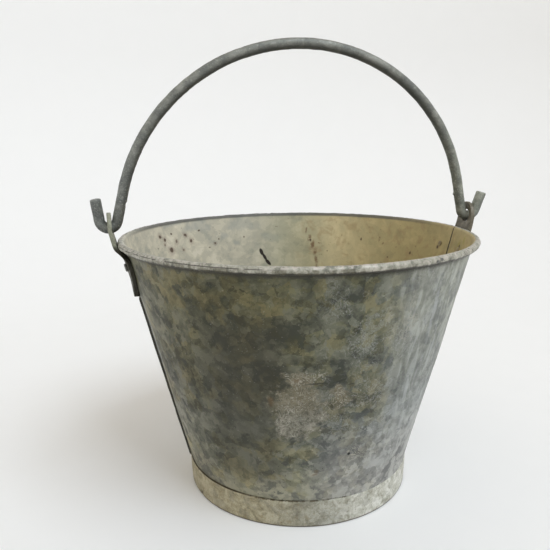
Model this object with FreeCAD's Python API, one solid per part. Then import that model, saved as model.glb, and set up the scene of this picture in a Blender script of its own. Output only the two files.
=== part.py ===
import FreeCAD, Part
import math
import os

from FreeCAD import Vector

# Galvanised steel milk pail with a swinging round-bar handle (bail).
# Origin: the middle of the foot on the ground. +Z up, the two ears on X, the front towards -Y.

# ---- Driving dimensions, millimetres and degrees ----
SHEET = 0.7              # body and bottom sheet
RIM_R = 165.0            # outer radius of the rolled rim (13 inches across)
RIM_TOP = 239.5          # height of the rim's crest
WALL_ANGLE = 14.25      # flare of the wall from the vertical
WIRE_D = 4.7             # wire inside the rolled rim
CURL_END = -146.0        # where the curl ends under the wire, from straight outwards

SEAM_TURN = 1.0          # how far in front of the pail's diameter the seams stand
SEAM_W = 7.0             # width of a lock seam
SEAM_PLAY = 0.3          # gap past the end of each hook in the lock, and above and below the lock
SEAM_LOW = 27.0
SEAM_HIGH = 187.0

BOTTOM_Z = 10.4          # underside of the bottom disc
FOLD_PLAY = 0.3          # gap between the bottom's folded edge and the wall
BOTTOM_PLAY = 0.1        # gap between that edge and the foot band

BAND_SHEET = 1.0
BAND_R = 105.9           # outer radius of the foot band on the ground
BAND_R_HIGH = 107.0      # outer radius where its top edge is crimped in
BAND_CRIMP = 22.5        # height where that crimp starts
BAND_TOP = 24.6
BAND_HEM = 6.0           # height of the hem folded up inside its lower edge
BAND_LAP = 8.0           # width of its lapped end joint at the back, degrees

EAR_TURN = 2.1           # how far in front of the pail's diameter the ears stand
EAR_T = 3.6              # plate of an ear
EAR_TAIL_Z = 189.5
EAR_TAIL_GAP = 1.4       # the tail of the ear stands off the wall by this much
EAR_TOUCH = (205.0, 227.0)   # heights between which it lies on the wall
EAR_JOG_Z = 235.1        # height where it has stepped out past the rim
EAR_SET_Z = 249.5        # height of the bend that sets its head upright
EAR_TOP_Z = 264.2
EAR_BEND = 3.0           # radius inside each bend of the ear
EAR_RIM_GAP = 0.25
EAR_HEAD_IN_R = 168.7    # inner face of the ear's head, from the pail's axis
EAR_HALF_SPAN = 15.0     # degrees of the pail that the ear's blank reaches to either side
EAR_MARGIN = 2.0         # the blank runs this far past the ear's two ends
EYE_Z = 253.0
EYE_R = 7.6
HEAD_HALF = 13.0         # half widths of the ear: head, neck, rivet wings and tail
NECK_HALF = 14.6
WING_HALF = 28.0
TAIL_HALF = 10.5
NECK_Z = 238.1           # heights of the outline's corners
WING_TOP_Z = 227.5
WING_LOW_Z = 212.0
HEAD_ROUND = 12.8        # radii that round those corners
NECK_ROUND = 20.0
WING_INNER_ROUND = 5.0
WING_TOP_ROUND = 6.5
WING_LOW_ROUND = 8.0
TAIL_ROUND = 8.5

RIVET_SPREAD = 20.3      # each rivet, sideways from the ear's middle
RIVET_Z = 220.0
RIVET_R = 2.25
RIVET_HEAD_R = 3.5
RIVET_HEAD_T = 2.0
RIVET_TAIL_R = 2.9
RIVET_TAIL_T = 0.9
RIVET_TAIL_SEAT = 0.05   # the flat inner end stands clear of the hollow wall

BAR_D = 9.5              # handle bar (3/8 inch)
BAIL_R = 161.3           # radius of the handle's arch
BAIL_DROP = 6.0          # the arch's centre is this far below the pivot
BAIL_LEG_TOP = 33.0      # above this height over the pivot the leg is part of the arch
BAIL_LEAN = 5.9          # the handle stands this far towards the front
HOOK_R = 7.65            # centre line radius of the hook's U
HOOK_SPLAY = {"left": 7.0, "right": 16.5}
HOOK_TIP = {"left": 19.2, "right": 18.2}
EYE_PLAY = 0.6           # gap under the bar where it lies in the eye

# ---- Worked out from them ----
FLARE = math.radians(WALL_ANGLE)
SLOPE = math.tan(FLARE)
SHEET_ACROSS = SHEET / math.cos(FLARE)          # the wall's thickness measured level
WIRE_R = WIRE_D / 2
BEAD_R = WIRE_R + SHEET
BEAD_AT = (RIM_R - BEAD_R, RIM_TOP - BEAD_R)    # radius and height of the wire's centre
SEAMS = (-SEAM_TURN, 180 + SEAM_TURN)           # azimuths of the right and left seams
RIGHT_AZ = -EAR_TURN
LEFT_AZ = 180 + EAR_TURN
PIVOT_Y = -(EAR_HEAD_IN_R + EAR_T / 2) * math.sin(math.radians(EAR_TURN))
PIVOT_Z = EYE_Z - EYE_R + BAR_D / 2 + EYE_PLAY
FLANGE_Z = BOTTOM_Z + SHEET                     # underside of the wall's bottom flange
FAR = 400.0                                     # longer than anything in the pail


def wall_out(z):
    """Radius of the wall's outer surface at height z."""
    radius = BEAD_AT[0] - WIRE_R * math.cos(FLARE)
    height = BEAD_AT[1] + WIRE_R * math.sin(FLARE)
    return radius + SLOPE * (z - height)


def wall_in(z):
    return wall_out(z) - SHEET_ACROSS


def band_in(z):
    """Radius of the foot band's inner surface below its crimp."""
    return BAND_R - BAND_SHEET + (BAND_R_HIGH - BAND_R) * z / BAND_CRIMP


def on_section(point):
    """A (radius, height) point, in the upright plane through +X."""
    return Vector(point[0], 0, point[1])


def on_front(point):
    """A (sideways, height) point, in the plane that faces +X."""
    return Vector(0, point[0], point[1])


def face_of(edges):
    return Part.Face(Part.Wire(edges))


def polygon(points, place=on_section):
    corners = [place(p) for p in points]
    return Part.Face(Part.makePolygon(corners + corners[:1]))


def spin(face, start=0.0, sweep=360.0):
    """A section turned about the pail's axis, from azimuth start through sweep."""
    solid = face.revolve(Vector(0, 0, 0), Vector(0, 0, 1), sweep)
    return turned(solid, start)


def turned(shape, azimuth):
    copy = shape.copy()
    copy.rotate(Vector(0, 0, 0), Vector(0, 0, 1), azimuth)
    return copy


def joined(shapes):
    solid = shapes[0].fuse(shapes[1:]).removeSplitter()
    return solid.Solids[0] if len(solid.Solids) == 1 else solid


def unit(a, b):
    length = math.hypot(b[0] - a[0], b[1] - a[1])
    return (b[0] - a[0]) / length, (b[1] - a[1]) / length


def corner(before, point, after, radius):
    """Start, middle and end of the arc that rounds a corner."""
    d1, d2 = unit(before, point), unit(point, after)
    turn = math.atan2(d1[0] * d2[1] - d1[1] * d2[0], d1[0] * d2[0] + d1[1] * d2[1])
    trim = radius * math.tan(abs(turn) / 2)
    start = (point[0] - d1[0] * trim, point[1] - d1[1] * trim)
    end = (point[0] + d2[0] * trim, point[1] + d2[1] * trim)
    inward = unit(point, ((start[0] + end[0]) / 2, (start[1] + end[1]) / 2))
    reach = radius / math.cos(turn / 2) - radius
    middle = (point[0] + inward[0] * reach, point[1] + inward[1] * reach)
    return start, middle, end


def rounded(corners, place):
    """Face of a closed outline; each corner is (across, height, radius), radius 0 for a sharp one."""
    rounds = []
    for i, (x, z, radius) in enumerate(corners):
        before, after = corners[i - 1][:2], corners[(i + 1) % len(corners)][:2]
        rounds.append(corner(before, (x, z), after, radius) if radius else ((x, z),) * 3)
    edges = []
    for i, (start, middle, end) in enumerate(rounds):
        if start != end:
            edges.append(Part.Arc(place(start), place(middle), place(end)).toShape())
        following = rounds[(i + 1) % len(rounds)][0]
        edges.append(Part.LineSegment(place(end), place(following)).toShape())
    return face_of(edges)


# ---- Body: two half panels with a rolled rim, lock seams and a bottom flange ----
def around_wire(radius, angle):
    a = math.radians(angle)
    return BEAD_AT[0] + radius * math.cos(a), BEAD_AT[1] + radius * math.sin(a)


def panel_section(flange_r):
    """Section of the body from its bottom flange up the wall and round the rim wire."""
    tangent = 180 - WALL_ANGLE
    middle = (tangent + CURL_END) / 2
    inner = [on_section(around_wire(WIRE_R, a)) for a in (tangent, middle, CURL_END)]
    outer = [on_section(around_wire(BEAD_R, a)) for a in (CURL_END, middle, tangent)]
    above = FLANGE_Z + SHEET
    foot = [(wall_in(FLANGE_Z), FLANGE_Z), (flange_r, FLANGE_Z), (flange_r, above), (wall_out(above), above)]
    corners = [on_section(p) for p in foot]
    lines = list(zip(corners, corners[1:])) + [(corners[-1], inner[0])]
    edges = [Part.LineSegment(a, b).toShape() for a, b in lines]
    edges.append(Part.Arc(*inner).toShape())
    edges.append(Part.LineSegment(inner[-1], outer[0]).toShape())
    edges.append(Part.Arc(*outer).toShape())
    edges.append(Part.LineSegment(outer[-1], corners[0]).toShape())
    return face_of(edges)


def seam_layer(first, last, side_low, side_high):
    """Strip of the lock seam at azimuth 0: sheet layers first to last, counted from the inner surface."""
    corners = []
    for z, layers in ((SEAM_LOW, (first, last)), (SEAM_HIGH, (last, first))):
        for layer in layers:
            corners.append((wall_in(z) + layer * SHEET_ACROSS, z))
    span = math.degrees(SEAM_W / wall_in(SEAM_LOW))
    strip = Part.makeBox(FAR, side_high - side_low, FAR, Vector(0, side_low, 0))
    return spin(polygon(corners), -span, 2 * span).common(strip)


def hook_under():
    """Edge that runs under the seam and folds back over itself."""
    half = SEAM_W / 2
    return [
        seam_layer(0, 1, -SHEET, half),
        seam_layer(0, 3, half - SHEET, half),
        seam_layer(2, 3, -half + SHEET + SEAM_PLAY, half),
    ]


def hook_over():
    """Edge that steps up over the seam and folds in under the other edge's hook."""
    half = SEAM_W / 2
    return [
        seam_layer(0, 4, half, half + SHEET),
        seam_layer(3, 4, -half, half + SHEET),
        seam_layer(1, 4, -half, -half + SHEET),
        seam_layer(1, 2, -half, half - SHEET - SEAM_PLAY),
    ]


def panel(start, end, flange_r):
    shell = spin(panel_section(flange_r), start, end - start)
    height = SEAM_HIGH - SEAM_LOW + 2 * SEAM_PLAY
    room = Part.makeBox(FAR, SEAM_W / 2 + SHEET, height, Vector(0, -SHEET, SEAM_LOW - SEAM_PLAY))
    shell = shell.cut(turned(room, start))
    hooks = [turned(s, start) for s in hook_over()] + [turned(s, end) for s in hook_under()]
    shell = joined([shell] + hooks)
    holes = [rivet_cylinder(az, side, RIVET_R, -2 * SHEET, SHEET) for az, side in rivet_places()]
    return shell.cut(holes)


def rim_wire():
    return Part.makeTorus(BEAD_AT[0], WIRE_R, Vector(0, 0, BEAD_AT[1]), Vector(0, 0, 1))


# ---- Bottom and foot ----
def bottom_disc(flange_r):
    """Disc whose edge is folded up and in over the wall's flange."""
    edge_r = flange_r + SHEET
    flange_top = FLANGE_Z + SHEET
    fold_top = flange_top + SHEET
    return spin(polygon([
        (0, BOTTOM_Z), (edge_r, BOTTOM_Z), (edge_r, fold_top),
        (wall_out(fold_top) + FOLD_PLAY, fold_top), (wall_out(fold_top) + FOLD_PLAY, flange_top),
        (flange_r, flange_top), (flange_r, FLANGE_Z), (0, FLANGE_Z),
    ]))


def foot_band():
    """Hoop with a hem at the ground, crimped in to the wall at its top, its ends lapped at the back."""
    top_in = wall_out(BAND_TOP)
    hoop = spin(polygon([
        (BAND_R - 2 * BAND_SHEET, 0), (BAND_R, 0), (BAND_R_HIGH, BAND_CRIMP),
        (top_in + BAND_SHEET, BAND_TOP), (top_in, BAND_TOP),
        (BAND_R_HIGH - BAND_SHEET, BAND_CRIMP), (band_in(BAND_HEM), BAND_HEM),
        (band_in(BAND_HEM) - BAND_SHEET, BAND_HEM),
    ]))
    lap = spin(polygon([
        (BAND_R - BAND_SHEET / 2, 0), (BAND_R + BAND_SHEET, 0),
        (BAND_R_HIGH + BAND_SHEET, BAND_CRIMP), (BAND_R_HIGH - BAND_SHEET / 2, BAND_CRIMP),
    ]), 90 - BAND_LAP / 2, BAND_LAP)
    return joined([hoop, lap])


# ---- Ears and rivets ----
def rivet_places():
    side = math.degrees(math.asin(RIVET_SPREAD / wall_out(RIVET_Z)))
    return [(az, s) for az in (LEFT_AZ, RIGHT_AZ) for s in (-side, side)]


def rivet_cylinder(azimuth, side, radius, low, high):
    """Cylinder square to the wall at a rivet, from low to high measured out from its outer surface."""
    out = Vector(math.cos(FLARE), 0, -math.sin(FLARE))
    base = Vector(wall_out(RIVET_Z), 0, RIVET_Z) + out * low
    return turned(Part.makeCylinder(radius, high - low, base, out), azimuth + side)


def ear_section():
    """Section of an ear: up the wall, out round the rim, then up to the head."""
    inner = [
        (wall_out(EAR_TAIL_Z) + EAR_TAIL_GAP, EAR_TAIL_Z - EAR_MARGIN),
        (wall_out(EAR_TOUCH[0]), EAR_TOUCH[0]),
        (wall_out(EAR_TOUCH[1]), EAR_TOUCH[1]),
        (RIM_R + EAR_RIM_GAP, EAR_JOG_Z),
        (EAR_HEAD_IN_R, EAR_SET_Z),
        (EAR_HEAD_IN_R, EAR_TOP_Z + EAR_MARGIN),
    ]
    inner_side, outer_side = [], []
    for i, point in enumerate(inner):
        d1 = unit(inner[max(i - 1, 0)], inner[max(i, 1)])
        d2 = unit(inner[min(i, len(inner) - 2)], inner[min(i + 1, len(inner) - 1)])
        turn = d1[0] * d2[1] - d1[1] * d2[0]
        across = (d1[1] + d2[1], -d1[0] - d2[0])
        reach = EAR_T / (1 + d1[0] * d2[0] + d1[1] * d2[1])
        bend = 0 if abs(turn) < 1e-6 else EAR_BEND
        inner_side.append((*point, bend + (EAR_T if turn < 0 else 0)))
        outer_side.append((point[0] + across[0] * reach, point[1] + across[1] * reach,
                           bend + (EAR_T if turn > 0 else 0)))
    return rounded(inner_side + outer_side[::-1], on_section)


def ear_outline():
    """Front outline of an ear: a round head, a straight neck, two rivet wings and a rounded tail."""
    half = [
        (HEAD_HALF, EAR_TOP_Z, HEAD_ROUND),
        (NECK_HALF, NECK_Z, NECK_ROUND),
        (NECK_HALF, WING_TOP_Z, WING_INNER_ROUND),
        (WING_HALF, WING_TOP_Z, WING_TOP_ROUND),
        (WING_HALF, WING_LOW_Z, WING_LOW_ROUND),
        (TAIL_HALF, EAR_TAIL_Z, TAIL_ROUND),
    ]
    return half + [(-y, z, r) for y, z, r in half[::-1]]


def ear(azimuth):
    plate = spin(ear_section(), -EAR_HALF_SPAN, 2 * EAR_HALF_SPAN)
    blank = rounded(ear_outline(), on_front).extrude(Vector(FAR, 0, 0))
    solid = plate.common(blank)
    eye = Part.makeCylinder(EYE_R, FAR, Vector(0, 0, EYE_Z), Vector(1, 0, 0))
    solid = turned(solid.cut(eye), azimuth)
    holes = [rivet_cylinder(az, side, RIVET_R, -EAR_T, 2 * EAR_T) for az, side in rivet_places()]
    return solid.cut(holes).Solids[0]


def rivets(azimuth):
    """The two rivets of one ear: a flat head outside, a shank and a flat inner end."""
    pieces = []
    for az, side in rivet_places():
        if az != azimuth:
            continue
        tail_at = -SHEET - RIVET_TAIL_SEAT
        pieces.append(joined([
            rivet_cylinder(az, side, RIVET_R, tail_at - RIVET_TAIL_T / 2, EAR_T + RIVET_HEAD_T / 2),
            rivet_cylinder(az, side, RIVET_HEAD_R, EAR_T, EAR_T + RIVET_HEAD_T),
            rivet_cylinder(az, side, RIVET_TAIL_R, tail_at - RIVET_TAIL_T, tail_at),
        ]))
    return Part.makeCompound(pieces)


# ---- Handle ----
def hook_points(name):
    """One side of the handle, from the end of its arch to the hook's tip, as (outwards, up) points."""
    leg_x = math.sqrt(BAIL_R ** 2 - (BAIL_LEG_TOP + BAIL_DROP) ** 2)
    lean = math.atan2(BAIL_LEG_TOP + BAIL_DROP, leg_x)
    down = (math.sin(lean), -math.cos(lean))
    run = (BAIL_LEG_TOP - HOOK_R * (1 - math.sin(lean))) / math.cos(lean)
    leg_end = (leg_x + down[0] * run, BAIL_LEG_TOP + down[1] * run)
    centre = (leg_end[0] + HOOK_R * math.cos(lean), leg_end[1] + HOOK_R * math.sin(lean))
    splay = math.radians(HOOK_SPLAY[name])
    rise = (centre[0] + HOOK_R * math.cos(splay), centre[1] - HOOK_R * math.sin(splay))
    tip = (rise[0] + HOOK_TIP[name] * math.sin(splay), rise[1] + HOOK_TIP[name] * math.cos(splay))
    bottom = (centre[0], centre[1] - HOOK_R)
    return (leg_x, BAIL_LEG_TOP), leg_end, bottom, rise, tip


def bail():
    """Round bar bent to an arch, each end hooked out through an eye."""
    def at(side, point):
        return Vector(side * point[0], PIVOT_Y, PIVOT_Z + point[1])

    edges = []
    for name, side in (("left", -1), ("right", 1)):
        top, leg_end, bottom, rise, tip = [at(side, p) for p in hook_points(name)]
        run = [
            Part.LineSegment(tip, rise).toShape(),
            Part.Arc(rise, bottom, leg_end).toShape(),
            Part.LineSegment(leg_end, top).toShape(),
        ]
        if side < 0:
            crown = Vector(0, PIVOT_Y, PIVOT_Z + BAIL_R - BAIL_DROP)
            run.append(Part.Arc(top, crown, Vector(-top.x, top.y, top.z)).toShape())
            first, towards = tip, rise - tip
            edges = run
        else:
            edges += run[::-1]
    path = Part.Wire(Part.__sortEdges__(edges))
    ring = Part.Wire(Part.makeCircle(BAR_D / 2, first, towards))
    bar = path.makePipeShell([ring], True, True)
    bar.rotate(Vector(0, PIVOT_Y, PIVOT_Z), Vector(1, 0, 0), BAIL_LEAN)
    return bar


def build():
    flange_r = band_in(FLANGE_Z) - BOTTOM_PLAY - SHEET
    return {
        "front_panel": panel(SEAMS[1], 360 + SEAMS[0], flange_r),
        "back_panel": panel(*SEAMS, flange_r),
        "rim_wire": rim_wire(),
        "bottom_disc": bottom_disc(flange_r),
        "foot_band": foot_band(),
        "left_ear": ear(LEFT_AZ),
        "right_ear": ear(RIGHT_AZ),
        "left_ear_rivets": rivets(LEFT_AZ),
        "right_ear_rivets": rivets(RIGHT_AZ),
        "bail": bail(),
    }


os.makedirs("parts", exist_ok=True)
for name, shape in build().items():
    shape.exportStep("parts/" + name + ".step")
    print(name, "solids", len(shape.Solids), "valid", shape.isValid(), "volume", round(shape.Volume, 1))
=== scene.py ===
import math

import bpy
import numpy as np
from mathutils import Matrix, Vector


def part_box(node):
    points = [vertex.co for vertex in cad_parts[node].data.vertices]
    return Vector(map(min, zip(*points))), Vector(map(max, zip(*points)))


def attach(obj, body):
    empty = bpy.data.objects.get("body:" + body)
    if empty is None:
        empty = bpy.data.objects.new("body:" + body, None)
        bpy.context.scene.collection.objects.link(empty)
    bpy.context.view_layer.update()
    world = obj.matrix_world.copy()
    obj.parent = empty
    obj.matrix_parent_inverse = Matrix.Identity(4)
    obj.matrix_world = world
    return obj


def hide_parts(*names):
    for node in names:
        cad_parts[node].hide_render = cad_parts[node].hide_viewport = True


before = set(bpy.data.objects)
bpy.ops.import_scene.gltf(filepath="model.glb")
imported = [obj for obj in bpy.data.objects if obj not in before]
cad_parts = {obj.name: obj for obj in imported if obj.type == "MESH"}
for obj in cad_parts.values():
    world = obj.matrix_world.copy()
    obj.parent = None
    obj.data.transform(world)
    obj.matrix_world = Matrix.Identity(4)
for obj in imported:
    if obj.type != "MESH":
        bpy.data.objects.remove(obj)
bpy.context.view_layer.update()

# A worn galvanised milk pail. Metres, except where a name or comment says millimetres.
MM = 0.001

# ---- Sizes of the CAD pail, millimetres and degrees ----
SHEET = 0.7
RIM_R = 165.0
RIM_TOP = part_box("front_panel")[1].z / MM
FLARE = math.radians(14.25)
WIRE_R = 2.35
BEAD_R = WIRE_R + SHEET
CURL_END = -146.0
BEAD_AT = (RIM_R - BEAD_R, RIM_TOP - BEAD_R)
BOTTOM_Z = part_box("bottom_disc")[0].z / MM
FLANGE_Z = BOTTOM_Z + SHEET
FOLD_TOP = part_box("bottom_disc")[1].z / MM
FOLD_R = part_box("bottom_disc")[1].x / MM
SEAMS = (-1.0, 181.0)
SEAM_LOW, SEAM_HIGH = 27.0, 187.0
SEAM_HALF = 3.9
SEAM_PROUD = 2.1
BAND_R, BAND_HIGH_R, BAND_CRIMP, BAND_TOP = 105.9, 107.0, 22.5, 24.6
BAND_SHEET, BAND_HEM, LAP_AT = 1.0, 6.0, 90.0     # the band's ends overlap at the back
LAP_R = 135.0             # radius at which the wall is unrolled for its small markings
VIEW_TURN = 14.0          # degrees by which the picture is taken from the left of the front
WALL_BASE = FLANGE_Z + SHEET     # lowest edge of the walls' outer side
EYE_Z, EYE_R = 253.0, 7.6
EAR_Y = (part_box("left_ear")[0].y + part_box("left_ear")[1].y) / 2 / MM


def wall_out(z):
    radius = BEAD_AT[0] - WIRE_R * math.cos(FLARE)
    height = BEAD_AT[1] + WIRE_R * math.sin(FLARE)
    return radius + math.tan(FLARE) * (z - height)


def wall_in(z):
    return wall_out(z) - SHEET / math.cos(FLARE)


def wrap(angle):
    return (angle + 180) % 360 - 180


# ---- Repeatable noise on arrays of points ----
def lattice(cell, seed):
    """Repeatable value between -1 and 1 for every whole-number cell."""
    x, y, z = (cell[..., i].astype(np.int64) for i in range(3))
    h = (x * 374761393 + y * 668265263 + z * 1442695041 + seed * 1274126177) & 0x7FFFFFFF
    h = ((h ^ (h >> 13)) * 1103515245) & 0x7FFFFFFF
    h = h ^ (h >> 16)
    return (h & 0xFFFF) / 32767.5 - 1.0


def soft_noise(points, size, seed=0):
    """Smooth noise between -1 and 1 with lumps about size across."""
    p = np.asarray(points) / size
    base = np.floor(p)
    t = p - base
    t = t * t * (3 - 2 * t)
    total = np.zeros(p.shape[:-1])
    for dx in (0, 1):
        for dy in (0, 1):
            for dz in (0, 1):
                weight = np.ones(p.shape[:-1])
                for i, d in enumerate((dx, dy, dz)):
                    weight = weight * (t[..., i] if d else 1 - t[..., i])
                total += weight * lattice(base + np.array((dx, dy, dz)), seed)
    return total


def lumps(points, size, seed=0, octaves=3):
    total = np.zeros(np.asarray(points).shape[:-1])
    for i in range(octaves):
        total += soft_noise(points, size / 2 ** i, seed + i) * 0.55 ** i
    return total


def ease(value, low, high):
    """0 below low, 1 above high, smooth between."""
    t = np.clip((value - low) / (high - low), 0, 1)
    return t * t * (3 - 2 * t)


FAR = 9.0                 # stands for no mark near by


def ovals(points, azimuth, places, wander, grain):
    """Distance to the nearest oval mark on the wall: 0 at its centre and 1 on its edge.

    A mark is azimuth, height, half width, half height and tilt.
    """
    arc_off = wander * lumps(points, grain, 301, 2)
    rise_off = wander * lumps(points, grain, 401, 2)
    nearest = np.full(azimuth.shape, FAR)
    for az, z, half_w, half_h, tilt in places:
        arc = np.radians(wrap(azimuth - az)) * wall_out(points[..., 2]) + arc_off
        rise = points[..., 2] - z + rise_off
        cos, sin = math.cos(math.radians(tilt)), math.sin(math.radians(tilt))
        along, over = arc * cos + rise * sin, rise * cos - arc * sin
        nearest = np.minimum(nearest, np.hypot(along / half_w, over / half_h))
    return nearest


# ---- Meshes ----
def new_piece(name, vertices, faces, materials, slots=None):
    mesh = bpy.data.meshes.new(name)
    mesh.from_pydata((np.asarray(vertices) * MM).tolist(), [], faces)
    for material in materials:
        mesh.materials.append(material)
    if slots is not None:
        mesh.polygons.foreach_set("material_index", np.asarray(slots, dtype=np.int32))
    mesh.polygons.foreach_set("use_smooth", [True] * len(mesh.polygons))
    mesh.validate()
    piece = bpy.data.objects.new(name, mesh)
    bpy.context.scene.collection.objects.link(piece)
    return piece


def ring_normals(loop):
    """Outward normals of a closed section, given anticlockwise in (radius, height)."""
    step = np.roll(loop, -1, axis=0) - np.roll(loop, 1, axis=0)
    normal = np.stack([step[:, 1], -step[:, 0]], axis=1)
    return normal / np.maximum(np.linalg.norm(normal, axis=1, keepdims=True), 1e-9)


def spread(points, step):
    """Points at about the given spacing along a polyline."""
    out = []
    for a, b in zip(points, points[1:]):
        a, b = np.array(a, float), np.array(b, float)
        count = max(1, int(round(np.linalg.norm(b - a) / step)))
        out += [a + (b - a) * i / count for i in range(count)]
    return out + [np.array(points[-1], float)]


def lathe(name, loop, azimuths, shift, materials, slot_of=None, fields=None):
    """Closed skin of a section loop turned through the azimuths (degrees).

    shift(points, azimuth, loop) gives how far each point moves outwards square to the section
    and how far it moves away from the axis, both in millimetres. fields(points, azimuth) gives
    named values kept on the points for the materials.
    """
    loop = np.array(loop, float)
    normals = ring_normals(loop)
    full = abs(azimuths[-1] - azimuths[0] - 360) < 1e-6
    if full:
        azimuths = azimuths[:-1]
    a = np.radians(np.asarray(azimuths))[:, None]
    cos, sin = np.cos(a), np.sin(a)
    radius, height = loop[None, :, 0], loop[None, :, 1]
    points = np.stack([radius * cos, radius * sin, height + 0 * cos], axis=-1)
    turned = np.degrees(a) + 0 * radius
    kept = fields(points, turned) if fields else {}
    square, away = shift(points, turned, loop)
    n_r, n_z = normals[None, :, 0], normals[None, :, 1]
    radial = n_r * square + away
    points[..., 0] += radial * cos
    points[..., 1] += radial * sin
    points[..., 2] += n_z * square
    columns, rows = points.shape[:2]
    faces, slots = [], []
    for c in range(columns if full else columns - 1):
        d = (c + 1) % columns
        for r in range(rows):
            s = (r + 1) % rows
            faces.append((c * rows + r, d * rows + r, d * rows + s, c * rows + s))
            slots.append(slot_of[r] if slot_of is not None else 0)
    if not full:
        faces.append(tuple(range(rows)))
        faces.append(tuple((columns - 1) * rows + r for r in reversed(range(rows))))
        slots += [0, 0]
    piece = new_piece(name, points.reshape(-1, 3), faces, materials, slots)
    for field, values in kept.items():
        layer = piece.data.attributes.new(field, "FLOAT", "POINT")
        layer.data.foreach_set("value", values.ravel().astype(np.float32))
    return piece


# ---- Materials ----
PLAIN_GLOSS = 0.4         # specular level of weathered zinc


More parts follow.
